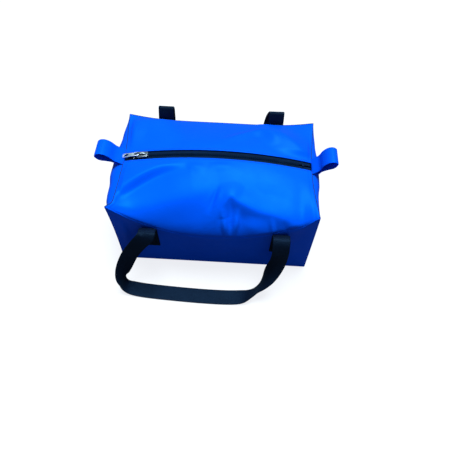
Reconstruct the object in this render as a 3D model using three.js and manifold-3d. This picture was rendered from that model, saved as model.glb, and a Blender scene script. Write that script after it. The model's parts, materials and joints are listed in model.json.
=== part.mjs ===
// A box-shaped zipped picking bag in coated tarpaulin, with two webbing grab handles and a folded
// pull loop at each end. Millimetres, +Z up, origin on the floor under the middle of the bag,
// +X along the zipper and the front panel facing -Y.
import * as THREE from "three";
import Module from "manifold-3d";

// Bag body
const BAG_LENGTH = 300;
const BAG_WIDTH = 188;
const CORNER_HEIGHT = 142;
const FABRIC = 1.2;
const GAP = 0.3;
const FRONT_BULGE = 12;
const FRONT_SAG = 46;
const REAR_BULGE = 4;
const REAR_SAG = 12.7;
const FRONT_CROWN = [2, 0.5];
const REAR_CROWN = [1.6, 1];
const END_BULGE = 13;
const END_PINCH = 3;

// Zipper, which runs over the top along a shallow arch
const ARCH_RADIUS = 612;
const ARCH_CROWN_Z = 159.5;
const MOUTH_HALF_WIDTH = 7.5;
const TAPE_OUTER = 11.8;
const TAPE_INNER = 1.4;
const TAPE_THICKNESS = 0.8;
const COIL_PITCH = 3.2;
const COIL_HALF_WIDTH = 3.3;
const COIL_HEIGHT = 2.2;
const COIL_TOOTH = 1.2;
const COIL_PARTING = 1.4;
const SLIDER_AT = -115.3;
const SLIDER_LENGTH = 18;
const SLIDER_WIDTH = 11.6;
const PULL_LENGTH = 26;
const PULL_WIDTH = 8.4;
const PULL_DROOP = 5;
const STOP_AT = -127.6;
const BOTTOM_STOP_AT = 129.5;

// Webbing handles
const WEBBING_WIDTH = 25;
const WEBBING = 1.6;
const FRONT_LEFT_X = -96;
const FRONT_RIGHT_X = 98.5;
const REAR_LEFT_X = -92;
const REAR_RIGHT_X = 90.5;
const FRONT_CREST = [-113.8, 113.2];
const REAR_CREST = [108, 146.2];

// End loops
const LOOP_WIDTH = 30;
const LOOP_BAND = 1.3;
const LEFT_LOOP_ROOT = [-149, 140.8];
const LEFT_LOOP_RISE = 26;
const RIGHT_LOOP_ROOT = [149.4, 141];
const RIGHT_LOOP_RISE = 46;

const HALF_LENGTH = BAG_LENGTH / 2;
const HALF_WIDTH = BAG_WIDTH / 2;
const ARCH_CENTRE_Z = ARCH_CROWN_Z - ARCH_RADIUS;
const WALL_BOTTOM = FABRIC + GAP;

const wasm = await Module();
wasm.setup();

const bag = new THREE.Group();
bag.name = "fruit_picking_bag";

const BLUE = 0x0560e8;
const BLACK = 0x10141c;
const THREAD = 0x20242c;
const STEEL = 0x9aa4b4;

function add(name, geometry, colour, metal = 0) {
  geometry.computeVertexNormals();
  const material = new THREE.MeshStandardMaterial({
    color: colour,
    roughness: metal ? 0.35 : 0.6,
    metalness: metal,
  });
  const mesh = new THREE.Mesh(geometry, material);
  mesh.name = name;
  bag.add(mesh);
  return mesh;
}

// Moves every vertex of a unit box, given as (u, v, w) in 0..1, to where place(u, v, w) puts it.
function mapped(nu, nv, place) {
  const geometry = new THREE.BoxGeometry(1, 1, 1, nu, nv, 1);
  const at = geometry.getAttribute("position");
  for (let i = 0; i < at.count; i += 1) {
    const p = place(at.getX(i) + 0.5, at.getY(i) + 0.5, at.getZ(i) + 0.5);
    at.setXYZ(i, p.x, p.y, p.z);
  }
  return geometry;
}

// A sheet of even thickness about the surface(u, v), with u x v pointing out of its w = 1 side.
function sheet(nu, nv, thickness, surface) {
  const step = 1e-3;
  return mapped(nu, nv, (u, v, w) => {
    const p = surface(u, v);
    const du = surface(Math.min(u + step, 1), v).sub(surface(Math.max(u - step, 0), v));
    const dv = surface(u, Math.min(v + step, 1)).sub(surface(u, Math.max(v - step, 0)));
    const normal = du.cross(dv).normalize();
    return p.addScaledVector(normal, (w - 0.5) * thickness);
  });
}

const lerp = THREE.MathUtils.lerp;
const clamp01 = (t) => Math.min(Math.max(t, 0), 1);
const smooth = (t) => clamp01(t) * clamp01(t) * (3 - 2 * clamp01(t));

// A point over the zipper's arch: arc length from the crown, distance across, height above.
function onArch(along, across, above) {
  const turn = along / ARCH_RADIUS;
  const reach = ARCH_RADIUS + above;
  return new THREE.Vector3(
    reach * Math.sin(turn),
    across,
    ARCH_CENTRE_Z + reach * Math.cos(turn),
  );
}
const archZ = (x) => ARCH_CENTRE_Z + Math.sqrt(ARCH_RADIUS * ARCH_RADIUS - x * x);

// The top edges of the long panels: [y, z] where x runs along the bag.
function frontEdge(x) {
  const k = Math.min(Math.abs(x) / HALF_LENGTH, 1);
  const y = -HALF_WIDTH - FRONT_BULGE * (1 - k * k);
  return [y, CORNER_HEIGHT - FRONT_SAG * (1 - k ** 2.5)];
}
function rearEdge(x) {
  const k = Math.min(Math.abs(x) / HALF_LENGTH, 1);
  const y = HALF_WIDTH + REAR_BULGE * (1 - k * k);
  return [y, CORNER_HEIGHT - REAR_SAG * (1 - k ** 3.5)];
}
const pinch = (y) => END_PINCH * (1 - Math.min(Math.abs(y) / HALF_WIDTH, 1)) ** 2;

// The long walls lean out towards the top.
function wallPoint(edge, x, z) {
  const k = Math.min(Math.abs(x) / HALF_LENGTH, 1);
  const [yTop, zTop] = edge(x);
  const foot = Math.sign(yTop) * HALF_WIDTH;
  const rise = clamp01(z / zTop) ** 1.3;
  return lerp(foot, yTop, rise * (k > 1 ? 0 : 1));
}

const REACH = HALF_LENGTH + FABRIC / 2;

// --- Panels ---------------------------------------------------------------------------------
const base = new THREE.BoxGeometry(2 * REACH, BAG_WIDTH + FABRIC, FABRIC);
base.translate(0, 0, FABRIC / 2);
add("base_panel", base, BLUE);

function wall(edge, facing) {
  return sheet(16, 5, FABRIC, (u, v) => {
    const x = facing * lerp(REACH, -REACH, u) * -1;
    const k = Math.min(Math.abs(x) / HALF_LENGTH, 1);
    const lap = facing > 0 ? k * k : 1;
    const z = lerp(WALL_BOTTOM, edge(x)[1] - GAP - (FABRIC / 2) * lap, v);
    return new THREE.Vector3(x, wallPoint(edge, x, z), z);
  });
}
add("front_panel", wall(frontEdge, 1), BLUE);
add("rear_panel", wall(rearEdge, -1), BLUE);

// A top panel, from its long edge up to the fold beside the zipper. Its crown is a pair of powers:
// a quarter-round for the front, and a flatter slope for the rear.
function topPoint(edge, side, x0, v) {
  const t = (v * Math.PI) / 2;
  const [yEdge, zEdge] = edge(x0);
  const yFold = side * MOUTH_HALF_WIDTH;
  const y = lerp(yEdge, yFold, 1 - Math.cos(t));
  const far = Math.abs(x0) / REACH;
  const x = x0 * (1 - (pinch(y) / REACH) * far ** 3);
  const [inner, outer] = side < 0 ? FRONT_CROWN : REAR_CROWN;
  const rise = (1 - Math.max(Math.cos(t), 0) ** inner) ** outer;
  return new THREE.Vector3(x, y, lerp(zEdge, archZ(x) - FABRIC / 2, rise));
}
function topPanel(edge, side) {
  return sheet(18, 10, FABRIC, (u, v) =>
    topPoint(edge, side, side * lerp(REACH, -REACH, u), v),
  );
}
add("front_top_panel", topPanel(frontEdge, -1), BLUE);
add("rear_top_panel", topPanel(rearEdge, 1), BLUE);

// Height of the top panels' middle surface where they meet an end panel, at y.
function endTop(y) {
  const side = y < 0 ? -1 : 1;
  const far = Math.abs(y);
  if (far <= MOUTH_HALF_WIDTH) return archZ(HALF_LENGTH - END_PINCH) - FABRIC / 2;
  const share = clamp01((HALF_WIDTH - far) / (HALF_WIDTH - MOUTH_HALF_WIDTH));
  const v = Math.acos(1 - share) / (Math.PI / 2);
  return topPoint(side < 0 ? frontEdge : rearEdge, side, REACH, v).z;
}

function endPanel(side) {
  const halfSpan = HALF_WIDTH - FABRIC / 2 - GAP;
  return sheet(12, 8, FABRIC, (u, v) => {
    const y = side * lerp(-halfSpan, halfSpan, u);
    const under = FABRIC / 2 + 1.6 * GAP + 1.2 * Math.abs(y / halfSpan) ** 3;
    const z = lerp(WALL_BOTTOM, endTop(y) - under, v);
    const across = 1 - (y / halfSpan) ** 2;
    const swell = END_BULGE * Math.sin(Math.PI * v ** 2.6) * across;
    const drawn = pinch(y) * v ** 6;
    return new THREE.Vector3(side * (HALF_LENGTH + swell - drawn), y, z);
  });
}
add("left_end_panel", endPanel(-1), BLUE);
add("right_end_panel", endPanel(1), BLUE);

// --- Zipper ---------------------------------------------------------------------------------
const TAPE_END = ARCH_RADIUS * Math.asin(145.4 / ARCH_RADIUS);
const TAPE_LEVEL = -2.2;
const COIL_LEVEL = TAPE_LEVEL + TAPE_THICKNESS / 2 + GAP + COIL_HEIGHT / 2;

function tape(side) {
  return sheet(14, 1, TAPE_THICKNESS, (u, v) => {
    const across = side * lerp(TAPE_OUTER, TAPE_INNER, v);
    return onArch(side * lerp(TAPE_END, -TAPE_END, u), across, TAPE_LEVEL);
  });
}
add("zipper_tape_front", tape(-1), BLACK);
add("zipper_tape_rear", tape(1), BLACK);

// How far the coils stand apart at a place along the zipper: they part inside the slider.
function parting(along) {
  return COIL_PARTING * smooth((SLIDER_AT + 0.5 - along) / 6);
}
const COIL_START = STOP_AT + 1.6;
const COIL_END = BOTTOM_STOP_AT - 1.8;
const HALF_PITCHES = 2 * Math.round((COIL_END - COIL_START) / COIL_PITCH);

function coil(side) {
  return mapped(HALF_PITCHES, 1, (u, v, w) => {
    const along = lerp(COIL_START, COIL_END, u);
    const wave = Math.round(u * HALF_PITCHES) % 2 ? 1 : -1;
    const inner = COIL_TOOTH * wave * 0.5 + side * GAP * 0.75;
    const outer = side * COIL_HALF_WIDTH;
    const across = lerp(side > 0 ? inner : outer, side > 0 ? outer : inner, v);
    const crest = side * wave > 0 ? 0 : -0.35;
    const above = COIL_LEVEL + (w - 0.5) * COIL_HEIGHT + (w > 0.5 ? crest : 0);
    return onArch(along, across + side * parting(along), above);
  });
}
add("zipper_coil_front", coil(-1), BLACK);
add("zipper_coil_rear", coil(1), BLACK);

// manifold-3d solids, to and from three.js geometry
function solid(geometry) {
  const flat = geometry.index ? geometry.toNonIndexed() : geometry;
  const at = flat.getAttribute("position");
  const seen = new Map();
  const points = [];
  const corners = [];
  for (let i = 0; i < at.count; i += 1) {
    const p = [at.getX(i), at.getY(i), at.getZ(i)];
    const key = p.map((c) => Math.round(c * 1e4)).join();
    if (!seen.has(key)) {
      seen.set(key, seen.size);
      points.push(...p);
    }
    corners.push(seen.get(key));
  }
  const mesh = new wasm.Mesh({
    numProp: 3,
    vertProperties: new Float32Array(points),
    triVerts: new Uint32Array(corners),
  });
  return new wasm.Manifold(mesh);
}
function shell(body) {
  const mesh = body.getMesh();
  const geometry = new THREE.BufferGeometry();
  const at = new THREE.BufferAttribute(new Float32Array(mesh.vertProperties), 3);
  geometry.setAttribute("position", at);
  geometry.setIndex(new THREE.BufferAttribute(new Uint32Array(mesh.triVerts), 1));
  return geometry;
}
function block(x0, x1, y0, y1, z0, z1) {
  const geometry = new THREE.BoxGeometry(x1 - x0, y1 - y0, z1 - z0);
  geometry.translate((x0 + x1) / 2, (y0 + y1) / 2, (z0 + z1) / 2);
  return solid(geometry);
}
function plate(outline, z0, z1, holes = []) {
  const shape = new THREE.Shape(outline.map(([x, y]) => new THREE.Vector2(x, y)));
  for (const hole of holes) {
    shape.holes.push(new THREE.Path(hole.map(([x, y]) => new THREE.Vector2(x, y))));
  }
  const geometry = new THREE.ExtrudeGeometry(shape, { depth: z1 - z0, bevelEnabled: false });
  geometry.translate(0, 0, z0);
  return geometry;
}

// Lays a piece made about the arch's crown (x along, y across, z above) at a place along it.
function layOnArch(geometry, along) {
  geometry.translate(0, 0, ARCH_RADIUS);
  geometry.rotateY(along / ARCH_RADIUS);
  geometry.translate(0, 0, ARCH_CENTRE_Z);
  return geometry;
}

// The slider: two plates joined by the post that parts the coils, side flanges and a bridge.
// Its leading end, which meets the parted coils, points to -X.
const PLATE_LOW = COIL_LEVEL + COIL_HEIGHT / 2 + 0.35;
const PLATE_HIGH = PLATE_LOW + 1.2;
const UNDER_HIGH = TAPE_LEVEL - TAPE_THICKNESS / 2 - GAP;
const UNDER_LOW = UNDER_HIGH - 1.2;
const FLANGE_LOW = TAPE_LEVEL + TAPE_THICKNESS / 2 + GAP;
const half = SLIDER_WIDTH / 2;
const nose = -SLIDER_LENGTH / 2;
const tail = SLIDER_LENGTH / 2;
const sliderPlan = [
  [nose, -half * 0.55],
  [nose + 1.2, -half * 0.85],
  [nose + 3, -half],
  [-1, -half],
  [tail - 1, -half * 0.86],
  [tail, -half * 0.66],
  [tail, half * 0.66],
  [tail - 1, half * 0.86],
  [-1, half],
  [nose + 3, half],
  [nose + 1.2, half * 0.85],
  [nose, half * 0.55],
];
const BRIDGE_TOP = PLATE_HIGH + 4;
const bridgeSide = [
  [-8.2, PLATE_HIGH - 0.4],
  [-8.0, BRIDGE_TOP - 1.6],
  [-6.8, BRIDGE_TOP - 0.3],
  [-4.5, BRIDGE_TOP],
  [2.5, BRIDGE_TOP - 0.5],
  [6.4, PLATE_HIGH + 1.4],
  [7.4, PLATE_HIGH - 0.4],
  [5.2, PLATE_HIGH - 0.4],
  [4.6, PLATE_HIGH + 0.9],
  [1.8, BRIDGE_TOP - 1.7],
  [-4.5, BRIDGE_TOP - 1.25],
  [-6.5, BRIDGE_TOP - 1.7],
  [-6.8, PLATE_HIGH - 0.4],
];
const bridge = plate(bridgeSide, -1.5, 1.5);
bridge.rotateX(Math.PI / 2);
const flangePlan = (side) => [
  [nose + 3, side * (half - 0.7)],
  [-1, side * (half - 0.7)],
  [tail - 1, side * (half * 0.86 - 0.7)],
  [tail - 1, side * half * 0.86],
  [-1, side * half],
  [nose + 3, side * half],
];
const turned = (side) => (side > 0 ? flangePlan(side) : flangePlan(side).reverse());
const lowFlange = UNDER_HIGH;
const slider = wasm.Manifold.union([
  solid(plate(sliderPlan, PLATE_LOW, PLATE_HIGH)),
  solid(plate(sliderPlan, UNDER_LOW, UNDER_HIGH)),
  solid(plate(turned(1), FLANGE_LOW, PLATE_LOW + 0.2)),
  solid(plate(turned(-1), FLANGE_LOW, PLATE_LOW + 0.2)),
  block(nose + 0.6, nose + 4, -0.75, 0.75, lowFlange - 0.2, PLATE_LOW + 0.2),
  solid(bridge),
]);
add("zipper_slider", layOnArch(shell(slider), SLIDER_AT), STEEL, 1);

// The pull hangs by its crosspiece under the slider's bridge. It is made flat about the
// crosspiece, pointing to -X, then drooped and laid in place.
const PIVOT_X = -5.3;
const PIVOT_UP = PLATE_HIGH + 1.45;
const pullHalf = PULL_WIDTH / 2;
const pullPlan = [
  [0.8, -3.4],
  [0.8, 3.4],
  [-7, 3.4],
  [-12, pullHalf * 0.8],
  [-PULL_LENGTH + 3, pullHalf],
  [-PULL_LENGTH + 0.8, pullHalf * 0.8],
  [-PULL_LENGTH, pullHalf * 0.3],
  [-PULL_LENGTH, -pullHalf * 0.3],
  [-PULL_LENGTH + 0.8, -pullHalf * 0.8],
  [-PULL_LENGTH + 3, -pullHalf],
  [-12, -pullHalf * 0.8],
  [-7, -3.4],
];
const slot = [
  [-0.8, -2],
  [-6.3, -2],
  [-6.3, 2],
  [-0.8, 2],
];
const slantedHole = [];
for (let i = 0; i < 14; i += 1) {
  const a = (i / 14) * 2 * Math.PI;
  const across = 2.5 * Math.cos(a);
  const along = 3.6 * Math.sin(a);
  slantedHole.push([-PULL_LENGTH + 6.6 + along + 0.35 * across, across]);
}
const pull = plate(pullPlan, -0.8, 0.8, [slot, slantedHole]);
pull.rotateY(THREE.MathUtils.degToRad(-PULL_DROOP));
pull.translate(PIVOT_X, 0, PIVOT_UP);
add("zipper_pull", layOnArch(pull, SLIDER_AT), STEEL, 1);

// Stops
function topStop(side) {
  const low = TAPE_LEVEL + TAPE_THICKNESS / 2 + GAP;
  const y0 = side > 0 ? 1.9 : -5.2;
  const geometry = new THREE.BoxGeometry(2.4, 3.3, COIL_HEIGHT);
  geometry.translate(0, y0 + 1.65, low + COIL_HEIGHT / 2);
  return layOnArch(geometry, STOP_AT);
}
add("zipper_top_stop_front", topStop(-1), STEEL, 1);
add("zipper_top_stop_rear", topStop(1), STEEL, 1);
const bottomStop = new THREE.BoxGeometry(2.8, 7, COIL_HEIGHT);
bottomStop.translate(0, 0, FLANGE_LOW + COIL_HEIGHT / 2);
add("zipper_bottom_stop", layOnArch(bottomStop, BOTTOM_STOP_AT), BLACK);

// --- End loops ------------------------------------------------------------------------------
// A band folded back on itself into a teardrop, its two ends together at the seam.
const TEARDROP = [
  [0, -0.85],
  [10, -2.4],
  [20, -5.6],
  [28, -7.2],
  [34.5, -5.4],
  [38.3, 0],
  [34.5, 5.4],
  [28, 7.2],
  [20, 5.6],
  [10, 2.4],
  [0, 0.85],
];
function endLoop(root, rise, side) {
  const path = TEARDROP.map(([r, h]) => new THREE.Vector3(r, 0, h));
  const curve = new THREE.CatmullRomCurve3(path);
  const a = THREE.MathUtils.degToRad(rise);
  return sheet(26, 1, LOOP_BAND, (u, v) => {
    const p = curve.getPoint(side > 0 ? u : 1 - u);
    const x = root[0] + side * (p.x * Math.cos(a) - p.z * Math.sin(a));
    const z = root[1] + p.x * Math.sin(a) + p.z * Math.cos(a);
    return new THREE.Vector3(x, lerp(-LOOP_WIDTH / 2, LOOP_WIDTH / 2, v), z);
  });
}
add("left_end_loop", endLoop(LEFT_LOOP_ROOT, LEFT_LOOP_RISE, -1), BLUE);
add("right_end_loop", endLoop(RIGHT_LOOP_ROOT, RIGHT_LOOP_RISE, 1), BLUE);

// --- Handles --------------------------------------------------------------------------------
const TAIL_OFFSET = FABRIC / 2 + GAP + WEBBING / 2;

// A sewn strap end: flat against a wall, then curling away to the crest where the handle starts.
function strapTail(edge, side, xMid, zLow, zLeave, crest) {
  const straight = 0.62;
  return sheet(4, 16, WEBBING, (u, v) => {
    const x = xMid - side * lerp(-WEBBING_WIDTH / 2, WEBBING_WIDTH / 2, u);
    const rise = Math.min(v / straight, 1);
    const z = lerp(zLow, zLeave, rise);
    const yWall = wallPoint(edge, x, z) + side * TAIL_OFFSET;
    if (v <= straight) return new THREE.Vector3(x, yWall, z);
    const t = (((v - straight) / (1 - straight)) * Math.PI) / 2;
    const yEnd = crest[0] - side * GAP * 0.5;
    const y = lerp(yWall, yEnd, 1 - Math.cos(t));
    return new THREE.Vector3(x, y, lerp(zLeave, crest[1], Math.sin(t)));
  });
}
const FRONT_LOW = 53;
const FRONT_LEAVE = 103;
const REAR_LOW = 72;
const REAR_LEAVE = 123;
const frontTail = (x) => strapTail(frontEdge, -1, x, FRONT_LOW, FRONT_LEAVE, FRONT_CREST);
const rearTail = (x) => strapTail(rearEdge, 1, x, REAR_LOW, REAR_LEAVE, REAR_CREST);
add("front_handle_tail_left", frontTail(FRONT_LEFT_X), BLACK);
add("front_handle_tail_right", frontTail(FRONT_RIGHT_X), BLACK);
add("rear_handle_tail_left", rearTail(REAR_LEFT_X), BLACK);
add("rear_handle_tail_right", rearTail(REAR_RIGHT_X), BLACK);

// Box stitching with a cross, raised on a sewn strap end.
function boxStitch(edge, side, xMid, zLow, zHigh) {
  const w = 9;
  const h = (zHigh - zLow) / 2;
  const line = 1.2;
  const s = (line * Math.hypot(w, h)) / w / 2;
  const t = (line * Math.hypot(w, h)) / h / 2;
  const rim = [
    [-w - line, -h - line],
    [w + line, -h - line],
    [w + line, h + line],
    [-w - line, h + line],
  ];
  const holes = [
    [[-w, -h + s], [-w, h - s], [-t, 0]],
    [[w, h - s], [w, -h + s], [t, 0]],
    [[-w + t, -h], [0, -s], [w - t, -h]],
    [[w - t, h], [0, s], [-w + t, h]],
  ];
  const geometry = plate(rim, 0, 0.5, holes);
  const at = geometry.getAttribute("position");
  const lift = FABRIC / 2 + GAP + WEBBING + 0.3;
  for (let i = 0; i < at.count; i += 1) {
    const x = xMid - side * at.getX(i);
    const z = (zLow + zHigh) / 2 + at.getY(i);
    at.setXYZ(i, x, wallPoint(edge, x, z) + side * (lift + at.getZ(i)), z);
  }
  return geometry;
}
const stitched = { front: [58, 94], rear: [77, 113] };
add("front_box_stitch_left", boxStitch(frontEdge, -1, FRONT_LEFT_X, ...stitched.front), THREAD);
add("front_box_stitch_right", boxStitch(frontEdge, -1, FRONT_RIGHT_X, ...stitched.front), THREAD);
add("rear_box_stitch_left", boxStitch(rearEdge, 1, REAR_LEFT_X, ...stitched.rear), THREAD);
add("rear_box_stitch_right", boxStitch(rearEdge, 1, REAR_RIGHT_X, ...stitched.rear), THREAD);

// A uniform Catmull-Rom curve through rows of numbers.
function curveAt(rows, u) {
  const last = rows.length - 1;
  const f = clamp01(u) * last;
  const i = Math.min(Math.floor(f), last - 1);
  const t = f - i;
  const [b, c] = [rows[i], rows[i + 1]];
  const a = i > 0 ? rows[i - 1] : b.map((n, k) => 2 * n - c[k]);
  const d = i + 2 <= last ? rows[i + 2] : c.map((n, k) => 2 * n - b[k]);
  const out = b.map((n, k) => {
    const p = 2 * a[k] - 5 * n + 4 * c[k] - d[k];
    const q = 3 * n - a[k] - 3 * c[k] + d[k];
    return 0.5 * (2 * n + (c[k] - a[k]) * t + p * t * t + q * t * t * t);
  });
  return new THREE.Vector3(...out);
}

// A strap through [centre, width direction] stations.
function strap(stations, count) {
  const centres = stations.map((s) => s[0]);
  const widths = stations.map((s) => s[1]);
  const step = 1e-4;
  return mapped(count, 2, (u, v, w) => {
    const ahead = curveAt(centres, u + step);
    const tangent = ahead.sub(curveAt(centres, u - step)).normalize();
    const across = curveAt(widths, u);
    across.addScaledVector(tangent, -across.dot(tangent)).normalize();
    const normal = tangent.clone().cross(across);
    return curveAt(centres, u)
      .addScaledVector(across, (v - 0.5) * WEBBING_WIDTH)
      .addScaledVector(normal, (w - 0.5) * WEBBING);
  });
}

const [fy, fz] = FRONT_CREST;
const startY = fy - GAP;
const frontHandle = [
  [[FRONT_LEFT_X, startY, fz], [-1, 0, 0]],
  [[FRONT_LEFT_X, fy - 3.6, fz - 0.2], [-1, 0, 0]],
  [[FRONT_LEFT_X - 2.4, fy - 8.2, fz - 4.2], [-1, 0, 0.15]],
  [[-108.5, -127, 98], [-1, 0, 0.5]],
  [[-121.5, -132, 79], [-1, -0.05, 0.6]],
  [[-131.5, -137, 57], [-1, -0.1, 0.75]],
  [[-138, -141.5, 37], [-0.6, -0.3, 0.9]],
  [[-140.5, -145.5, 19.5], [-0.2, -0.45, 1]],
  [[-137.5, -149, 8.6], [-0.35, -1, 0.6]],
  [[-127, -151.5, 3.6], [-0.15, -1, 0.1]],
  [[-103, -154.2, 1.9], [-0.05, -1, 0]],
  [[-60, -156.6, 1.5], [0.02, -1, 0]],
  [[-15, -158.2, 1.4], [0, -1, 0]],
  [[25, -158.2, 1.6], [-0.02, -1, 0]],
  [[48, -156.5, 3.6], [-0.12, -1, 0.1]],
  [[63.5, -152.2, 9.6], [0, -0.9, 0.6]],
  [[75.5, -146, 19], [0.15, -0.6, 0.85]],
  [[85.5, -140, 32.5], [0.3, -0.5, 0.85]],
  [[92, -134.8, 51], [0.75, -0.44, 0.4]],
  [[97, -130, 73], [1, -0.1, 0.05]],
  [[FRONT_RIGHT_X, -126.5, 93], [1, 0, 0]],
  [[FRONT_RIGHT_X, fy - 8.4, fz - 5.6], [1, 0, 0]],
  [[FRONT_RIGHT_X, fy - 3.6, fz - 0.2], [1, 0, 0]],
  [[FRONT_RIGHT_X, startY, fz], [1, 0, 0]],
];
add("front_handle_loop", strap(frontHandle, 88), BLACK);

const [ry, rz] = REAR_CREST;
const outY = ry + GAP;
const rearHandle = [
  [[REAR_LEFT_X, outY, rz], [-1, 0, 0]],
  [[REAR_LEFT_X, ry + 3.6, rz - 0.2], [-1, 0, 0]],
  [[REAR_LEFT_X, ry + 8.6, rz - 6], [-1, 0, 0]],
  [[-92.5, 121, 128], [-1, 0, 0]],
  [[-94, 127, 100], [-1, 0.1, 0]],
  [[-97, 133, 72], [-1, 0.5, 0]],
  [[-98, 139.5, 44], [-0.7, 1, 0.1]],
  [[-94, 145.5, 20], [-0.4, 1, 0]],
  [[-82, 149, 5.4], [-0.1, 1, 0]],
  [[-58, 150.5, 1.8], [0, 1, 0]],
  [[-20, 151.5, 1.4], [0, 1, 0]],
  [[20, 151.5, 1.4], [0, 1, 0]],
  [[58, 150.5, 1.8], [0, 1, 0]],
  [[80, 149, 5.4], [0.1, 1, 0]],
  [[89, 145.5, 20], [0.4, 1, 0]],
  [[90, 139.5, 44], [0.7, 1, 0.1]],
  [[87, 133, 72], [1, 0.5, 0]],
  [[84.5, 127, 100], [1, 0.1, 0.1]],
  [[86.5, 121.5, 125], [1, 0, 0.15]],
  [[REAR_RIGHT_X - 1, ry + 8.6, rz - 6], [1, 0, 0.08]],
  [[REAR_RIGHT_X, ry + 3.6, rz - 0.2], [1, 0, 0]],
  [[REAR_RIGHT_X, outY, rz], [1, 0, 0]],
];
add("rear_handle_loop", strap(rearHandle, 64), BLACK);

export default bag;
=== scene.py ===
import json
import math

import bpy
import numpy as np
from mathutils import Matrix, Vector


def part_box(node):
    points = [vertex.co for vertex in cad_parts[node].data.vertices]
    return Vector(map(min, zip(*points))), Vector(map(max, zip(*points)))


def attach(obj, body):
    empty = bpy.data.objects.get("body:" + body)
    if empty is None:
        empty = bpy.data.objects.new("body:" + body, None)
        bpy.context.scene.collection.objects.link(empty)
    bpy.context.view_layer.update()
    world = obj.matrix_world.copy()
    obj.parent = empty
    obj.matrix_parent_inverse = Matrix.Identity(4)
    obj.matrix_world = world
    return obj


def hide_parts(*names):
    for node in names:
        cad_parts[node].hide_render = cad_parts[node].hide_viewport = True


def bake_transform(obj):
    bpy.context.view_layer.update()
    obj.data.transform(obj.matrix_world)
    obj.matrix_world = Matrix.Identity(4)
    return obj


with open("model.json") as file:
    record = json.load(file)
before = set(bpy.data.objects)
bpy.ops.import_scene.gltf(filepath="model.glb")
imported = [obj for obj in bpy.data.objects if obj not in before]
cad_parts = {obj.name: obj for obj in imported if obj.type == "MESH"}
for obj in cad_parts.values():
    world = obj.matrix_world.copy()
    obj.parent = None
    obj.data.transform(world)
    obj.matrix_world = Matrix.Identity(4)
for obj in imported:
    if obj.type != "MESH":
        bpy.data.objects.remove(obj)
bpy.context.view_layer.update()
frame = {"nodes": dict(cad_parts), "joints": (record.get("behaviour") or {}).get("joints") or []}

MM = 0.001
scene = bpy.context.scene


# --- Sizes, read from the frame, in millimetres ----------------------------------------------
def box(node):
    lo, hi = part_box(node)
    return np.array(lo) / MM, np.array(hi) / MM


def joint(name):
    found = next(j for j in frame["joints"] if j["name"] == name)
    return np.array(found["pos_m"]) / MM


# half the thickness of the frame's cloth panels
HALF_CLOTH = 0.6
base_hi = box("base_panel")[1]
HALF_L = base_hi[0] - HALF_CLOTH
HALF_W = base_hi[1] - HALF_CLOTH
top_lo, top_hi = box("front_top_panel")
rear_lo, rear_hi = box("rear_top_panel")
CROWN = top_hi[2]
ARCH_Z = joint("zip_travel")[2]
ARCH_R = CROWN - ARCH_Z
# how high the top's four corners stand
CORNER = 142.0
FRONT_BULGE = -top_lo[1] - HALF_CLOTH - HALF_W
FRONT_SAG = CORNER - top_lo[2]
REAR_BULGE = rear_hi[1] - HALF_CLOTH - HALF_W
REAR_SAG = CORNER - rear_lo[2]
# how flat the long seams run in the middle, and how the two top panels curve across
FRONT_SHAPE = 2.5
REAR_SHAPE = 3.5
FRONT_CROWN = (1.85, 0.56)
REAR_CROWN = (1.6, 1.0)
# how far each hem runs from the zipper's middle: a little further out than the frame's hems
MOUTH = {-1: -top_hi[1] + 1.8, 1: rear_lo[1] + 0.3}
# how far the end panels bulge; the right one stands flatter
LEFT_SWELL = box("right_end_panel")[1][0] - HALF_CLOTH - HALF_L
RIGHT_SWELL = LEFT_SWELL - 5


# --- Meshes ----------------------------------------------------------------------------------
def unit(v):
    return v / np.maximum(np.linalg.norm(v, axis=-1, keepdims=True), 1e-9)


def smoothstep(a, b, x):
    t = np.clip((x - a) / (b - a), 0, 1)
    return t * t * (3 - 2 * t)


def curve(rows, u):
    """A uniform Catmull-Rom curve through rows of numbers, at each u from 0 to 1."""
    rows = np.asarray(rows, float)
    last = len(rows) - 1
    f = np.clip(u, 0, 1) * last
    i = np.minimum(f.astype(int), last - 1)
    t = (f - i)[:, None]
    ends = np.concatenate([[2 * rows[0] - rows[1]], rows, [2 * rows[-1] - rows[-2]]])
    a, b, c, d = (ends[i + k] for k in range(4))
    p = 2 * a - 5 * b + 4 * c - d
    q = 3 * b - a - 3 * c + d
    return 0.5 * (2 * b + (c - a) * t + p * t * t + q * t * t * t)


def make(name, verts, faces, uvs=None, sharp=40):
    """A mesh object from points in millimetres. uvs gives one (u, v) per point."""
    mesh = bpy.data.meshes.new(name)
    mesh.from_pydata((np.asarray(verts, float) * MM).tolist(), [], faces)
    mesh.shade_smooth()
    mesh.set_sharp_from_angle(angle=math.radians(sharp))
    if uvs is not None:
        layer = mesh.uv_layers.new(name="UVMap")
        loops = np.zeros(len(mesh.loops), np.int32)
        mesh.loops.foreach_get("vertex_index", loops)
        layer.data.foreach_set("uv", np.asarray(uvs, np.float32)[loops].ravel())
    mesh.validate()
    mesh.update()
    obj = bpy.data.objects.new(name, mesh)
    scene.collection.objects.link(obj)
    return obj


def normals_of(pts):
    return unit(np.cross(np.gradient(pts, axis=0), np.gradient(pts, axis=1)))


def grid_faces(n, m, offset=0, flip=False):
    i, j = np.meshgrid(np.arange(n - 1), np.arange(m - 1), indexing="ij")
    a = (i * m + j + offset).ravel()
    quads = np.stack([a, a + m, a + m + 1, a + 1], 1)
    return (quads[:, ::-1] if flip else quads).tolist()


def rim(n, m, top, under):
    """Quads that join the borders of two n by m grids whose points start at top and under."""
    left = [i * m for i in range(n)]
    right = [i * m + m - 1 for i in range(n)]
    first = list(range(m))
    last = [(n - 1) * m + j for j in range(m)]
    faces = []
    for line, turn in ((left, 0), (right, 1), (first, 1), (last, 0)):
        for a, b in zip(line, line[1:]):
            quad = [top + a, top + b, under + b, under + a]
            faces.append(quad[::-1] if turn else quad)
    return faces


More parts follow.
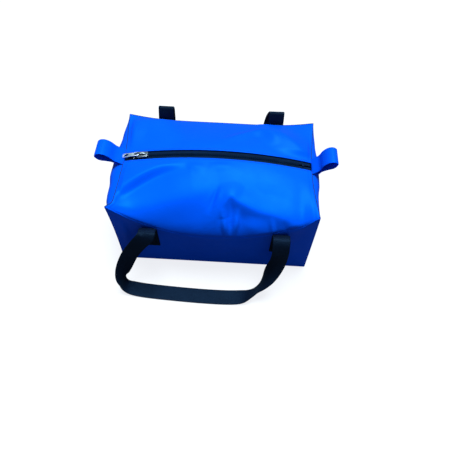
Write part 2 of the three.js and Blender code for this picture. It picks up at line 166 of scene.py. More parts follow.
def shell(name, pts, thick):
    """A closed sheet from an n by m grid of outer points: outer face, inner face and rim."""
    n, m, _ = pts.shape
    under = pts - normals_of(pts) * thick
    verts = np.concatenate([pts.reshape(-1, 3), under.reshape(-1, 3)])
    faces = grid_faces(n, m) + grid_faces(n, m, n * m, True) + rim(n, m, 0, n * m)
    step_u = np.linalg.norm(np.diff(pts[:, m // 2], axis=0), axis=1)
    step_v = np.linalg.norm(np.diff(pts[n // 2], axis=0), axis=1)
    u = np.repeat(np.concatenate([[0], np.cumsum(step_u)])[:, None], m, 1)
    v = np.repeat(np.concatenate([[0], np.cumsum(step_v)])[None], n, 0)
    uv = np.stack([u, v], -1).reshape(-1, 2)
    return make(name, verts, faces, np.concatenate([uv, uv]))


def piece(obj, body, slot, *nodes):
    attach(obj, body)
    if nodes:
        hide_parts(*nodes)
    return obj


# --- Cloth -----------------------------------------------------------------------------------
CLOTH_FRAMES = 14
CLOTH_STIFF = 15.0
CLOTH_BEND = 4.0
EVENING = 40


def drape(pts, pinned, pressure, slack, cap):
    """Runs a sheet of points (an n by m grid, in millimetres) as cloth, held where pinned is 1,
    and gives the points back, none moved further than cap. The movement is evened out over a
    few millimetres, since coated cloth this thick takes no small wrinkles."""
    n, m, _ = pts.shape
    obj = make("drape", pts.reshape(-1, 3), grid_faces(n, m))
    group = obj.vertex_groups.new(name="pin")
    flat = pinned.ravel()
    for level in np.unique(np.round(flat, 2)):
        if level > 0:
            where = np.nonzero(np.round(flat, 2) == level)[0].tolist()
            group.add(where, float(level), "REPLACE")
    cloth = obj.modifiers.new("cloth", "CLOTH")
    s = cloth.settings
    s.quality = 6
    s.mass = 0.15
    s.tension_stiffness = s.compression_stiffness = CLOTH_STIFF
    s.shear_stiffness = CLOTH_STIFF * 0.5
    s.bending_stiffness = CLOTH_BEND
    s.air_damping = 4
    s.vertex_group_mass = "pin"
    s.pin_stiffness = 1.0
    s.shrink_min = -slack
    s.use_pressure = True
    s.uniform_pressure_force = pressure
    s.effector_weights.gravity = 0
    cloth.collision_settings.use_collision = False
    cloth.point_cache.frame_start = 1
    cloth.point_cache.frame_end = CLOTH_FRAMES
    for f in range(1, CLOTH_FRAMES + 1):
        scene.frame_set(f)
    done = obj.evaluated_get(bpy.context.evaluated_depsgraph_get()).data
    out = np.zeros(n * m * 3, np.float32)
    done.vertices.foreach_get("co", out)
    scene.frame_set(1)
    bpy.data.objects.remove(obj)
    moved = out.reshape(n, m, 3).astype(float) / MM - pts
    far = np.linalg.norm(moved, axis=-1, keepdims=True)
    moved *= np.minimum(1, cap / np.maximum(far, 1e-6))
    for _ in range(EVENING):
        moved[1:-1] = (moved[:-2] + moved[1:-1] * 2 + moved[2:]) / 4
        moved[:, 1:-1] = (moved[:, :-2] + moved[:, 1:-1] * 2 + moved[:, 2:]) / 4
    return pts + moved


# --- The bag's shape -------------------------------------------------------------------------
def arch(x):
    return ARCH_Z + np.sqrt(ARCH_R**2 - x * x)


def long_edge(x, side):
    """Where a long panel meets the top: y and z of the seam at x."""
    k = np.clip(np.abs(x) / HALF_L, 0, 1)
    if side < 0:
        bulge, sag, shape = FRONT_BULGE, FRONT_SAG, FRONT_SHAPE
    else:
        bulge, sag, shape = REAR_BULGE, REAR_SAG, REAR_SHAPE
    z = CORNER - sag * (1 - k**shape)
    if side < 0:
        # the front edge dips just before the right-hand corner
        z = z - 5.0 * np.exp(-(((x - 127) / 11) ** 2)) * smoothstep(0, 12, HALF_L - x)
    return side * (HALF_W + bulge * (1 - k * k)), z


def hump(y, most, middle, front, rear, shape=2.0):
    """A smooth rise to most at middle that is gone a reach of front or rear millimetres away."""
    off = (y - middle) / np.where(y < middle, front, rear)
    return most * np.maximum(np.cos(np.clip(off, -1, 1) * math.pi / 2), 0) ** shape


# the front-left corner stands out as a stiff ear: how far, and how wide it is
EAR = 8.6
EAR_WIDTH = 5.4


def pinch(x, y):
    """How far an end seam is drawn in at y: most near the zipper, fading to the corners."""
    y = np.clip(y, -HALF_W, HALF_W)
    left = hump(y, 7.7, 0, 195, 108) - EAR * np.exp(-(((y + HALF_W) / EAR_WIDTH) ** 2))
    right = hump(y, 8.1, -14, 88, 112, 1.3)
    return np.where(x < 0, left, right)


def shoulder_roll(y):
    """How far the cloth rolls out below the left end seam, at y."""
    return hump(y, 5.9, -50, 2 * HALF_L, 144, 1.5) * smoothstep(-HALF_W, -HALF_W + 20, y)


def drawn_in(x, y, share):
    """x once its seam is drawn in. share is how much of that is felt, from 0 to 1."""
    return x * (1 - pinch(x, y) / HALF_L * np.abs(x / HALF_L) ** 3 * share)


def top_surface(x0, v, side):
    ye, ze = long_edge(x0, side)
    t = v * math.pi / 2
    y = ye + (side * MOUTH[side] - ye) * (1 - np.cos(t))
    x = drawn_in(x0, y, 1)
    inner, outer = FRONT_CROWN if side < 0 else REAR_CROWN
    rise = (1 - np.maximum(np.cos(t), 0) ** inner) ** outer
    return np.stack([x, y, ze + (arch(x) - ze) * rise], -1)


def line_distance(x, y, line):
    """Signed distance from a plan line of (x, y, height) points, and the line's height there.
    The distance is positive on the line's left. Past an end it is measured from that end."""
    best = np.full(x.shape, 1e9)
    high = np.zeros(x.shape)
    signed = np.zeros(x.shape)
    for (ax, ay, ah), (bx, by, bh) in zip(line, line[1:]):
        dx, dy = bx - ax, by - ay
        t = np.clip(((x - ax) * dx + (y - ay) * dy) / (dx * dx + dy * dy), 0, 1)
        d = np.hypot(x - ax - t * dx, y - ay - t * dy)
        closer = d < best
        best = np.where(closer, d, best)
        high = np.where(closer, ah + (bh - ah) * t, high)
        turn = dx * (y - ay) - dy * (x - ax)
        signed = np.where(closer, np.where(turn > 0, d, -d), signed)
    return signed, high


def fold(x, y, line, left, right, soft):
    """A fold over a plan line: full height on the line, falling away over left millimetres on
    its left and right millimetres on its right, and rounded over soft at its crest."""
    d, high = line_distance(x, y, curve(line, np.linspace(0, 1, 6 * len(line))))
    r = (np.sqrt(d**2 + soft**2) - soft) / np.where(d > 0, left, right)
    r = np.clip(r, 0, 1)
    return high * (1 - r) ** 2 * (1 + r)


# Folds in the top: a plan line of (x, y, height) points, how far the fold reaches on the line's
# left and on its right, and how rounded its crest is. A positive height is a ridge. A line has a
# point where it starts, where it bends and where it ends, and curve() rounds it in between.
FRONT_FOLDS = [
    # the peak in the front slope, with its long leg running to the right-hand corner
    ([(20, -106, 0), (4, -93, 3), (11, -79, 6), (22, -67, 8), (35, -73, 7.5), (64, -82, 6),
      (92, -87, 5.5), (120, -96, 2), (136, -95, 0)], 26, 16, 0.8),
    # two soft pleats below the peak, meeting at the front seam
    ([(12, -80, 0), (16, -97, 4.5), (21, -105, 1.5)], 6, 6, 2.0),
    ([(32, -79, 0), (32, -95, 4), (27, -104, 1.5)], 5.5, 6, 2.0),
    # the narrow crease to the left of the peak, and the ridge beside it
    ([(4, -52, 0), (-2, -70, -2), (-10, -87, 0)], 4.5, 5, 0.8),
    ([(9, -54, 0), (4, -71, 1), (-4, -88, 0)], 6, 4, 1.0),
    # the valley running from the front-left corner up to the zipper, and the ridges beside it
    ([(-150, -88, 0), (-130, -68, -5), (-105, -50, -5.5), (-75, -37, -4), (-38, -30, 0)],
     12, 52, 2.5),
    ([(-150, -97, 0), (-110, -85, 2.5), (-65, -73, 3.5), (-25, -66, 2.5), (6, -58, 0)],
     54, 22, 5.0),
    ([(-148, -76, 0), (-128, -54, 4), (-102, -34, 4.5), (-76, -21, 3), (-46, -17, 0)],
     38, 12, 2.5),
    # two short ripples beside the zipper, past the valley's end
    ([(-14, -22, 0), (5, -20, 1.5), (26, -17, 0)], 9, 13, 2.0),
    ([(-46, -16, 0), (-30, -24, 1.5), (-16, -31, 0)], 9, 11, 2.0),
    # small folds along the front seam, to the right of the peak
    ([(40, -96, 0), (60, -98, 3), (92, -101, 0)], 9, 9, 2.5),
    ([(81, -88, 0), (85, -97, 2), (88, -105, 2.5)], 5, 5, 1.2),
    ([(98, -90, 0), (103, -98, -1.5), (106, -106, 0)], 8, 8, 1.2),
]
REAR_FOLDS = [
    # the long crease across the right-hand end, falling away to the corner behind it
    ([(50, 92, 0), (72, 76, 6.5), (98, 50, 9.5), (122, 28, 7), (144, 10, 0)], 36, 32, 3.0),
    # an S-shaped ripple in the middle
    ([(4, 28, 0), (30, 46, 3), (60, 62, 3), (81, 51, 2.5), (86, 30, 0)], 11, 14, 2.0),
    # the swelling over the left-hand end, and the edge where it turns down to the seam
    ([(-146, 80, 0), (-125, 75, 6.5), (-95, 75, 8.5), (-58, 82, 0)], 18, 54, 4.0),
    ([(-136, 86, 0), (-134, 50, 3), (-132, 12, 0)], 20, 11, 2.0),
]


WAVES = 5


def waves(x, y, seed, scale):
    """Smooth, repeatable unevenness: a few sine waves of random direction."""
    r = np.random.RandomState(seed)
    total = np.zeros(np.shape(x))
    for _ in range(WAVES):
        a = r.uniform(0, math.pi)
        length = scale * r.uniform(0.7, 1.6)
        phase = r.uniform(0, 2 * math.pi)
        total += np.sin((x * math.cos(a) + y * math.sin(a)) * 2 * math.pi / length + phase)
    return total / WAVES


LIP_HEIGHT = 0.9
LIP_REACH = 2.2


def lip(distance):
    """How far cloth stands proud of a seam, by its distance from the seam."""
    return LIP_HEIGHT * (1 - np.exp(-((distance / LIP_REACH) ** 2)))


# the tarpaulin's thickness, the height of the base cloth, and the points of the top's grids
TARP = 0.7
FLOOR = 0.8
WALL_CURVE = 1.3
NX = 181
TOP_ROWS = 66


def top_panel(side):
    n, m = NX, TOP_ROWS
    x0 = np.linspace(-HALF_L, HALF_L, n)[:, None] * np.ones((1, m))
    v = (np.linspace(0, 1, m) ** 0.92)[None] * np.ones((n, 1))
    if side > 0:
        x0 = x0[::-1]
    pts = top_surface(x0, v, side)
    out = normals_of(pts)
    ends = HALF_L - np.abs(x0)
    seam = np.linalg.norm(pts - pts[:, :1], axis=-1)
    hem = np.linalg.norm(pts - pts[:, -1:], axis=-1)
    fade = smoothstep(0, 10, ends) * smoothstep(0, 8, seam) * smoothstep(2, 16, hem)
    lift = np.zeros(x0.shape)
    for line, left, right, soft in FRONT_FOLDS if side < 0 else REAR_FOLDS:
        lift += fold(pts[..., 0], pts[..., 1], line, left, right, soft)
    lift += 0.5 * waves(pts[..., 0], pts[..., 1], 3 + side, 60)
    lift = lift * fade + lip(np.minimum(ends, seam))
    # a sewn line runs along the end seams, a few millimetres in
    lift -= 0.5 * np.exp(-(((ends - 5.5) / 1.1) ** 2)) * smoothstep(0, 4, ends)
    pts = pts + out * lift[..., None]
    sewn = np.minimum(np.minimum(ends, seam), hem) < 2.5
    pin = np.where(sewn, 1.0, 0.12 + 0.6 * (1 - fade))
    pts = drape(pts, pin, 1.2, 0.006, 2.5)
    # the turned hem: over the edge beside the zipper and back underneath
    under = -normals_of(pts)[:, -1]
    across = unit(pts[:, -1] - pts[:, -4])
    rows = [pts[:, j] for j in range(m)]
    for a in (30, 75, 120, 165):
        r = math.radians(a)
        rows.append(pts[:, -1] + across * math.sin(r) * 0.8 + under * (1 - math.cos(r)) * 0.8)
    for back in (3, 7, 11):
        rows.append(pts[:, -1] - across * back + under * 1.7)
    return np.stack(rows, 1)


def wall_panel(side):
    n, m = NX, 46
    x = np.linspace(-HALF_L, HALF_L, n)[:, None] * np.ones((1, m))
    if side > 0:
        x = x[::-1]
    v = np.linspace(0, 1, m)[None] * np.ones((n, 1))
    yt, zt = long_edge(x, side)
    z = FLOOR + (zt - FLOOR) * v
    y = side * HALF_W + (yt - side * HALF_W) * v**WALL_CURVE
    pts = np.stack([drawn_in(x, yt, v**3), y, z], -1)
    out = np.zeros(pts.shape)
    out[..., 1] = side
    ends = HALF_L - np.abs(x)
    foot, head = z, zt - z
    fade = smoothstep(0, 14, ends) * smoothstep(0, 12, foot) * smoothstep(0, 9, head)
    lift = 1.1 * waves(x, z * 0.4, 20 + side, 90) + 0.3 * waves(x, z, 30 + side, 34)
    if side < 0:
        lift += fold(x, z, [(-137, 118, 0), (-134, 80, 2.0), (-138, 20, 0)], 8, 12, 2.0)
        lift += fold(x, z, [(20, 88, 0), (30, 60, 1.8), (10, 10, 0)], 26, 26, 6.0)
        lift += fold(x, z, [(138, 120, 0), (128, 86, -1.6), (134, 30, 0)], 14, 14, 3.0)
    pts = pts + out * (lift * fade + lip(np.minimum(np.minimum(ends, foot), head)))[..., None]
    return pts


def wall_depth(x, z, side):
    """y of a long panel at x and at the height z."""
    yt, zt = long_edge(np.array(x), side)
    return side * HALF_W + (yt - side * HALF_W) * (z / zt) ** WALL_CURVE


def end_panel(side):
    n, m = 111, 56
    y = np.linspace(-HALF_W, HALF_W, n)[:, None] * np.ones((1, m))
    if side < 0:
        y = y[::-1]
    v = (np.linspace(0, 1, m) ** 0.7)[None] * np.ones((n, 1))
    side_y = np.where(y < 0, -1.0, 1.0)
    mouth = np.where(y < 0, MOUTH[-1], MOUTH[1])
    share = np.clip((HALF_W - np.abs(y)) / (HALF_W - mouth), 0, 1)
    t = np.arccos(1 - share) / (math.pi / 2)
    seam_x = np.full(y.shape, side * HALF_L)
    front = top_surface(seam_x, t, -1)
    rear = top_surface(seam_x, t, 1)
    zt = np.where(side_y < 0, front[..., 2], rear[..., 2])
    z = FLOOR + (zt - FLOOR) * v
    swell = LEFT_SWELL if side < 0 else RIGHT_SWELL
    swell = swell * np.sin(math.pi * v**2.6) * (1 - (y / HALF_W) ** 2)
    # the shoulder: a roll just outside the top seam, on the left
    full = shoulder_roll(y) if side < 0 else 0.0
    grown = 1 - np.exp(-(zt - z) / 6.0)
    corner = np.minimum(pinch(seam_x, side_y * HALF_W), 0) * (y / HALF_W) ** 2
    shoulder = full * v**5 * grown
    inset = (pinch(seam_x, y) - corner) * (1 - grown) * smoothstep(0.3, 0.9, v)
    x = side * (HALF_L + swell + shoulder - corner * v**3 - inset)
    pts = np.stack([x, y, z], -1)
    ends = HALF_W - np.abs(y)
    fade = smoothstep(0, 12, ends) * smoothstep(0, 12, z) * smoothstep(0, 12, zt - z)
    lift = 1.0 * waves(y, z * 0.5, 40 + side, 80) + 0.3 * waves(y, z, 50 + side, 30)
    lift += fold(y, z, [(-60, 140, 0), (-38, 112, -2.0), (-52, 60, 0)], 16, 16, 3.0)
    lift += fold(y, z, [(58, 140, 0), (40, 108, -2.2), (56, 50, 0)], 16, 16, 3.0)
    near = np.minimum(np.minimum(ends, z), zt - z)
    return pts + normals_of(pts) * (lift * fade + lip(near))[..., None]


def base_panel():
    n, m = 61, 39
    x = np.linspace(-HALF_L, HALF_L, n)[:, None] * np.ones((1, m))
    y = np.linspace(HALF_W, -HALF_W, m)[None] * np.ones((n, 1))
    near = np.minimum(HALF_L - np.abs(x), HALF_W - np.abs(y))
    z = FLOOR * (1 - smoothstep(0, 2.5, near))
    return np.stack([x, y, z], -1)


# --- Materials -------------------------------------------------------------------------------
def material(name, colour, rough, metal=0.0, spec=0.5):
    m = bpy.data.materials.new(name)
    m.use_nodes = True
    shader = m.node_tree.nodes["Principled BSDF"]
    shader.inputs["Base Color"].default_value = (*colour, 1)
    shader.inputs["Roughness"].default_value = rough
    shader.inputs["Metallic"].default_value = metal
    shader.inputs["Specular IOR Level"].default_value = spec
    return m, m.node_tree, shader


def node(tree, kind, **values):
    made = tree.nodes.new(kind)
    for key, value in values.items():
        if key in made.inputs:
            made.inputs[key].default_value = value
        else:
            setattr(made, key, value)
    return made


def mix_colours(tree, factor, a, b):
    ramp = node(tree, "ShaderNodeValToRGB")
    ramp.color_ramp.elements[0].color = (*a, 1)
    ramp.color_ramp.elements[1].color = (*b, 1)
    tree.links.new(factor, ramp.inputs["Fac"])
    return ramp


def bumps(tree, shader, layers):
    """Chains bump nodes, each (height socket, strength, distance in metres)."""
    last = None
    for height, strength, distance in layers:
        bump = node(tree, "ShaderNodeBump", Strength=strength, Distance=distance)
        tree.links.new(height, bump.inputs["Height"])
        if last:
            tree.links.new(last.outputs["Normal"], bump.inputs["Normal"])
        last = bump
    tree.links.new(last.outputs["Normal"], shader.inputs["Normal"])


def tarpaulin():
    m, tree, shader = material("blue_tarpaulin", (0.0, 0.07, 0.68), 0.5, 0.14, 0.28)
    shader.inputs["Specular Tint"].default_value = (0.0, 0.13, 1, 1)
    link = tree.links.new
    place = node(tree, "ShaderNodeTexCoord")
    patches = node(tree, "ShaderNodeTexNoise", Scale=9.0, Detail=3.0, Roughness=0.5)
    link(place.outputs["Object"], patches.inputs["Vector"])
    tint = mix_colours(tree, patches.outputs["Fac"], (0.0, 0.062, 0.62), (0.0, 0.084, 0.74))
    link(tint.outputs["Color"], shader.inputs["Base Color"])
    # the scrim's weave, printing faintly through the coating
    uv = node(tree, "ShaderNodeUVMap")
    weave = []
    for direction in ("X", "Y"):
        wave = node(tree, "ShaderNodeTexWave", Scale=0.31, Distortion=0.0)
        wave.bands_direction = direction
        link(uv.outputs["UV"], wave.inputs["Vector"])
        weave.append(wave)
    grid = node(tree, "ShaderNodeMath", operation="ADD")
    link(weave[0].outputs["Fac"], grid.inputs[0])
    link(weave[1].outputs["Fac"], grid.inputs[1])
    grain = node(tree, "ShaderNodeTexNoise", Scale=420.0, Detail=2.0)
    link(place.outputs["Object"], grain.inputs["Vector"])
    dents = node(tree, "ShaderNodeTexNoise", Scale=26.0, Detail=2.5, Roughness=0.45)
    link(place.outputs["Object"], dents.inputs["Vector"])
    bumps(
        tree,
        shader,
        [
            (dents.outputs["Fac"], 0.3, 0.002),
            (grid.outputs["Value"], 0.10, 0.00012),
            (grain.outputs["Fac"], 0.12, 0.0001),
        ],
    )
    wear = node(tree, "ShaderNodeTexNoise", Scale=60.0, Detail=5.0)
    link(place.outputs["Object"], wear.inputs["Vector"])
    span = node(tree, "ShaderNodeMapRange")
    span.inputs["To Min"].default_value = 0.42
    span.inputs["To Max"].default_value = 0.56
    link(wear.outputs["Fac"], span.inputs["Value"])
    link(span.outputs["Result"], shader.inputs["Roughness"])
    return m


def webbing(name, dark, light, rib, spec=0.3):
    """Woven strap: ribs across it and a finer rib along it, from the strap's own UVs in mm."""
    m, tree, shader = material(name, dark, 0.52, 0.0, spec)
    shader.inputs["Specular Tint"].default_value = (0.2, 0.5, 1, 1)
    link = tree.links.new
    uv = node(tree, "ShaderNodeUVMap")
    place = node(tree, "ShaderNodeTexCoord")
    ribs = node(tree, "ShaderNodeTexWave", Scale=0.314 / rib, Distortion=0.3)
    ribs.bands_direction = "X"
    ribs.inputs["Detail Scale"].default_value = 2.0
    cords = node(tree, "ShaderNodeTexWave", Scale=0.314 / (rib * 0.8), Distortion=0.0)
    cords.bands_direction = "Y"
    for wave in (ribs, cords):
        link(uv.outputs["UV"], wave.inputs["Vector"])
    both = node(tree, "ShaderNodeMath", operation="MULTIPLY")
    link(ribs.outputs["Fac"], both.inputs[0])
    link(cords.outputs["Fac"], both.inputs[1])
    fuzz = node(tree, "ShaderNodeTexNoise", Scale=900.0, Detail=2.0)
    link(place.outputs["Object"], fuzz.inputs["Vector"])
    fade = node(tree, "ShaderNodeTexNoise", Scale=30.0, Detail=3.0)
    link(place.outputs["Object"], fade.inputs["Vector"])
    shade = node(tree, "ShaderNodeMath", operation="MULTIPLY_ADD")
    link(both.outputs["Value"], shade.inputs[0])
    shade.inputs[1].default_value = 0.6
    link(fade.outputs["Fac"], shade.inputs[2])
    tint = mix_colours(tree, shade.outputs["Value"], dark, light)
    tint.color_ramp.elements[0].position = 0.35
    tint.color_ramp.elements[1].position = 1.0
    link(tint.outputs["Color"], shader.inputs["Base Color"])
    shader.inputs["Sheen Weight"].default_value = 0.02
    shader.inputs["Sheen Tint"].default_value = (0.3, 0.6, 1, 1)
    bumps(
        tree,
        shader,
        [(both.outputs["Value"], 0.6, 0.0004), (fuzz.outputs["Fac"], 0.2, 0.0001)],
    )
    return m


def steel(name, colour, rough):
    m, tree, shader = material(name, colour, rough, 1.0)
    place = node(tree, "ShaderNodeTexCoord")
    streak = node(tree, "ShaderNodeTexNoise", Scale=700.0, Detail=3.0)
    tree.links.new(place.outputs["Object"], streak.inputs["Vector"])
    span = node(tree, "ShaderNodeMapRange")
    span.inputs["To Min"].default_value = rough - 0.08
    span.inputs["To Max"].default_value = rough + 0.16
    tree.links.new(streak.outputs["Fac"], span.inputs["Value"])
    tree.links.new(span.outputs["Result"], shader.inputs["Roughness"])
    bumps(tree, shader, [(streak.outputs["Fac"], 0.15, 0.0001)])
    return m


def plain(name, colour, rough, scale=500.0, spec=0.4):
    m, tree, shader = material(name, colour, rough, 0.0, spec)
    shader.inputs["Specular Tint"].default_value = (0.2, 0.5, 1, 1)
    place = node(tree, "ShaderNodeTexCoord")
    fine = node(tree, "ShaderNodeTexNoise", Scale=scale, Detail=3.0)
    tree.links.new(place.outputs["Object"], fine.inputs["Vector"])
    low = tuple(c * 0.7 for c in colour)
    high = tuple(c * 1.3 for c in colour)
    tint = mix_colours(tree, fine.outputs["Fac"], low, high)
    tree.links.new(tint.outputs["Color"], shader.inputs["Base Color"])
    bumps(tree, shader, [(fine.outputs["Fac"], 0.3, 0.0002)])
    return m


BLUE = tarpaulin()
BLACK = webbing("black_webbing", (0.0006, 0.0014, 0.006), (0.0018, 0.0050, 0.015), 1.5, 0.16)
TAPE = webbing("zipper_tape", (0.001, 0.005, 0.018), (0.003, 0.012, 0.04), 0.8, 0.1)
COIL = plain("zipper_coil", (0.001, 0.007, 0.026), 0.55, 300, 0.15)
# painted shade: the tarpaulin's blue darkened about five times, for the seams that show as dark
# lines where their crease lies in shade
SHADED_SEAM = plain("seam_painted_shade", (0.004, 0.03, 0.14), 0.7)
THREAD = plain("thread", (0.003, 0.05, 0.4), 0.55)
DARK_THREAD = plain("dark_thread", (0.006, 0.01, 0.02), 0.6)
STEEL = steel("slider_steel", (0.22, 0.25, 0.28), 0.34)
PULL = steel("pull_steel", (0.85, 0.89, 0.96), 0.36)


def paint(obj, mat):
    obj.data.materials.clear()
    obj.data.materials.append(mat)
    return obj


# --- Panels ----------------------------------------------------------------------------------
GRIDS = {
    "front_top": top_panel(-1),
    "rear_top": top_panel(1),
    "front": wall_panel(-1),
    "rear": wall_panel(1),
    "left_end": end_panel(-1),
    "right_end": end_panel(1),
    "base": base_panel(),
}
for name, pts in GRIDS.items():
    node_name = name + "_panel"
    piece(paint(shell(name + "_skin", pts, TARP), BLUE), "bag", "blue_tarpaulin", node_name)


# --- Seams and stitches ----------------------------------------------------------------------
def tube(path, radius, sides=8):
    """A closed tube along a path of points. radius is one number, or one for each point."""
    path = np.asarray(path, float)
    radius = np.broadcast_to(radius, len(path))
    along = unit(np.gradient(path, axis=0))
    side = unit(np.cross(along[0], [0.3, 0.2, 1.0]))
    verts = []
    for p, t, r in zip(path, along, radius):
        side = unit(side - t * (side @ t))
        other = np.cross(t, side)
        for k in range(sides):
            a = 2 * math.pi * k / sides
            verts.append(p + r * (side * math.cos(a) + other * math.sin(a)))
    faces = [list(range(sides))[::-1]]
    for i in range(len(path) - 1):
        for k in range(sides):
            q = (k + 1) % sides
            faces.append([i * sides + k, i * sides + q, (i + 1) * sides + q, (i + 1) * sides + k])
    last = (len(path) - 1) * sides
    faces.append([last + k for k in range(sides)])
    return verts, faces


def joined(parts):
    verts, faces = [], []
    for v, f in parts:
        faces += [[i + len(verts) for i in face] for face in f]
        verts += list(v)
    return verts, faces


def run_of(path, spacing):
    """The path again, with its points evenly spaced."""
    path = np.asarray(path, float)
    s = np.concatenate([[0], np.cumsum(np.linalg.norm(np.diff(path, axis=0), axis=1))])
    at = np.linspace(0, s[-1], max(2, int(round(s[-1] / spacing)) + 1))
    return np.stack([np.interp(at, s, path[:, k]) for k in range(3)], 1)


def stitches(path, out, length=2.6, gap=1.0, radius=0.34, lift=0.12):
    """Thread seen as a row of short stitches that dip into the cloth at both ends."""
    path = np.asarray(path, float)
    out = np.broadcast_to(np.asarray(out, float), path.shape)
    s = np.concatenate([[0], np.cumsum(np.linalg.norm(np.diff(path, axis=0), axis=1))])
    parts = []
    for k in range(int((s[-1] + gap) / (length + gap))):
        start = k * (length + gap)
        at = start + length * np.array([0, 0.12, 0.35, 0.65, 0.88, 1.0])
        row = np.stack([np.interp(at, s, path[:, c]) for c in range(3)], 1)
        up = unit(np.stack([np.interp(at, s, out[:, c]) for c in range(3)], 1))
        rise = np.array([-0.45, 0.0, 1, 1, 0.0, -0.45])[:, None] * lift * 2
        parts.append(tube(row + up * rise, radius * np.array([0.5, 0.9, 1, 1, 0.9, 0.5]), 6))
    return parts


SEAM_RADIUS = 0.7
SEAM_STEP = 3.0


def seam_bead(name, path, mat=BLUE):
    verts, faces = tube(run_of(path, SEAM_STEP), SEAM_RADIUS)
    return piece(paint(make(name, verts, faces), mat), "bag", "blue_tarpaulin")


for side, name in ((-1, "front"), (1, "rear")):
    top = GRIDS[name + "_top"]
    wall = GRIDS[name]
    # the rear top seam is drawn in the darker blue as painted shade; the front top seam keeps the
    # tarpaulin's blue
    seam_bead(name + "_top_seam", top[1:-1, 0], BLUE if side < 0 else SHADED_SEAM)
    seam_bead(name + "_left_corner_seam", wall[0 if side < 0 else -1])
    seam_bead(name + "_right_corner_seam", wall[-1 if side < 0 else 0])
    seam_bead(name + "_base_seam", wall[:, 0])
    for end in ("left", "right"):
        row = 0 if (end == "left") == (side < 0) else -1
        # the top's end seams are drawn in the darker blue as painted shade
        seam_bead(f"{name}_{end}_shoulder_seam", top[row, :TOP_ROWS], SHADED_SEAM)
for end in ("left", "right"):
    seam_bead(end + "_base_seam", GRIDS[end + "_end"][1:-1, 0])


# how far the topstitching runs from the hem
TOPSTITCH_IN = 2.6


def zipper_topstitch(name):
    top = GRIDS[name + "_top"][:, :TOP_ROWS]
    hem = np.linalg.norm(top - top[:, -1:], axis=-1)
    out = normals_of(top)
    path, up = [], []
    for i in range(3, len(top) - 3):
        j = int(np.argmin(np.abs(hem[i] - TOPSTITCH_IN)))
        path.append(top[i, j])
        up.append(out[i, j])
    path = np.array(path)
    for _ in range(3):
        path[1:-1] = (path[:-2] + path[1:-1] * 2 + path[2:]) / 4
    verts, faces = joined(stitches(path, np.array(up)))
    return piece(paint(make(name + "_zipper_topstitch", verts, faces), THREAD), "bag", "thread")


zipper_topstitch("front")
zipper_topstitch("rear")


# --- Zipper ----------------------------------------------------------------------------------
TAPE_LEVEL = -2.2
TAPE_OUTER = -box("zipper_tape_front")[0][1]
TAPE_HALF = 0.4
TAPE_END = 141.0
COIL_HALF = 1.1
COIL_LEVEL = TAPE_LEVEL + TAPE_HALF + 0.3 + COIL_HALF
COIL_PITCH = 3.2
COIL_WIRE = 0.46


def on_arch(along, across, above):
    """A point a length along the zipper's arch, beside its middle and above it."""
    turn = along / ARCH_R
    reach = ARCH_R + above
    return np.stack(
        np.broadcast_arrays(reach * np.sin(turn), across, ARCH_Z + reach * np.cos(turn)), -1
    )


slider_turn = math.atan2(joint("pull_swing")[0], joint("pull_swing")[2] - ARCH_Z)
SLIDER_AT = slider_turn * ARCH_R + 5.3


def zipper_tape(side, name):
    tape_end = ARCH_R * math.asin(TAPE_END / ARCH_R)
    u = np.linspace(-tape_end, tape_end, 147)[:, None] * np.ones((1, 14))
    across = np.linspace(TAPE_OUTER, 1.5, 14)[None] * np.ones((147, 1))
    if side > 0:
        u = u[::-1]
    ripple = 0.07 * np.sin(u * 2 * math.pi / 7) * (across / TAPE_OUTER)
    pts = on_arch(u, side * across, TAPE_LEVEL + TAPE_HALF + ripple)
    obj = shell("zipper_tape_" + name + "_weave", pts, 2 * TAPE_HALF)
    return piece(paint(obj, TAPE), "bag", "zipper_tape", "zipper_tape_" + name)


def coil(side, name):
    """A zipper coil: one monofilament wound in flat turns, with its heads over the middle."""
    stop = box("zipper_top_stop_front")[1][0]
    end = box("zipper_bottom_stop")[0][0]
    start = ARCH_R * math.asin(stop / ARCH_R) + 0.9
    count = int((ARCH_R * math.asin(end / ARCH_R) - 1.2 - start) / COIL_PITCH)
    turn = [(-0.18, 3.0, -0.35), (0.02, 2.0, 0.62), (0.1, 0.6, 0.66), (0.2, -0.55, 0.55),
            (0.27, -0.85, 0.0), (0.34, -0.55, -0.5), (0.55, 1.0, -0.62), (0.72, 2.7, -0.6)]
    path = []
    for k in range(count):
        for dx, y, z in turn:
            along = start + (k + dx + (0.5 if side > 0 else 0)) * COIL_PITCH
            # the two coils stand apart up to the slider
            part = 1.4 * smoothstep(0, 6, SLIDER_AT + 0.5 - along)
            path.append(on_arch(along, side * (y + part), COIL_LEVEL + z))
    path = curve(np.array(path), np.linspace(0, 1, count * 14))
    verts, faces = tube(path, COIL_WIRE, 7)
    obj = make("zipper_coil_" + name + "_winding", verts, faces)
    return piece(paint(obj, COIL), "bag", "zipper_coil", "zipper_coil_" + name)


def rounded(name, node_name, body, slot, mat, width):
    """A hard part's own shape with its edges rounded over."""
    source = frame["nodes"][node_name]
    mesh = source.data.copy()
    obj = bpy.data.objects.new(name, mesh)
    scene.collection.objects.link(obj)
    for kind, setup in (
        ("WELD", {"merge_threshold": 1e-5}),
        ("DECIMATE", {"decimate_type": "DISSOLVE", "angle_limit": math.radians(2)}),
        ("BEVEL", {"width": width * MM, "segments": 3, "angle_limit": math.radians(28)}),
    ):
        mod = obj.modifiers.new(kind, kind)
        for key, value in setup.items():
            setattr(mod, key, value)
    done = obj.evaluated_get(bpy.context.evaluated_depsgraph_get())
    final = bpy.data.meshes.new_from_object(done)
    obj.modifiers.clear()
    obj.data = final
    final.shade_smooth()
    final.set_sharp_from_angle(angle=math.radians(35))
    return piece(paint(obj, mat), body, slot, node_name)


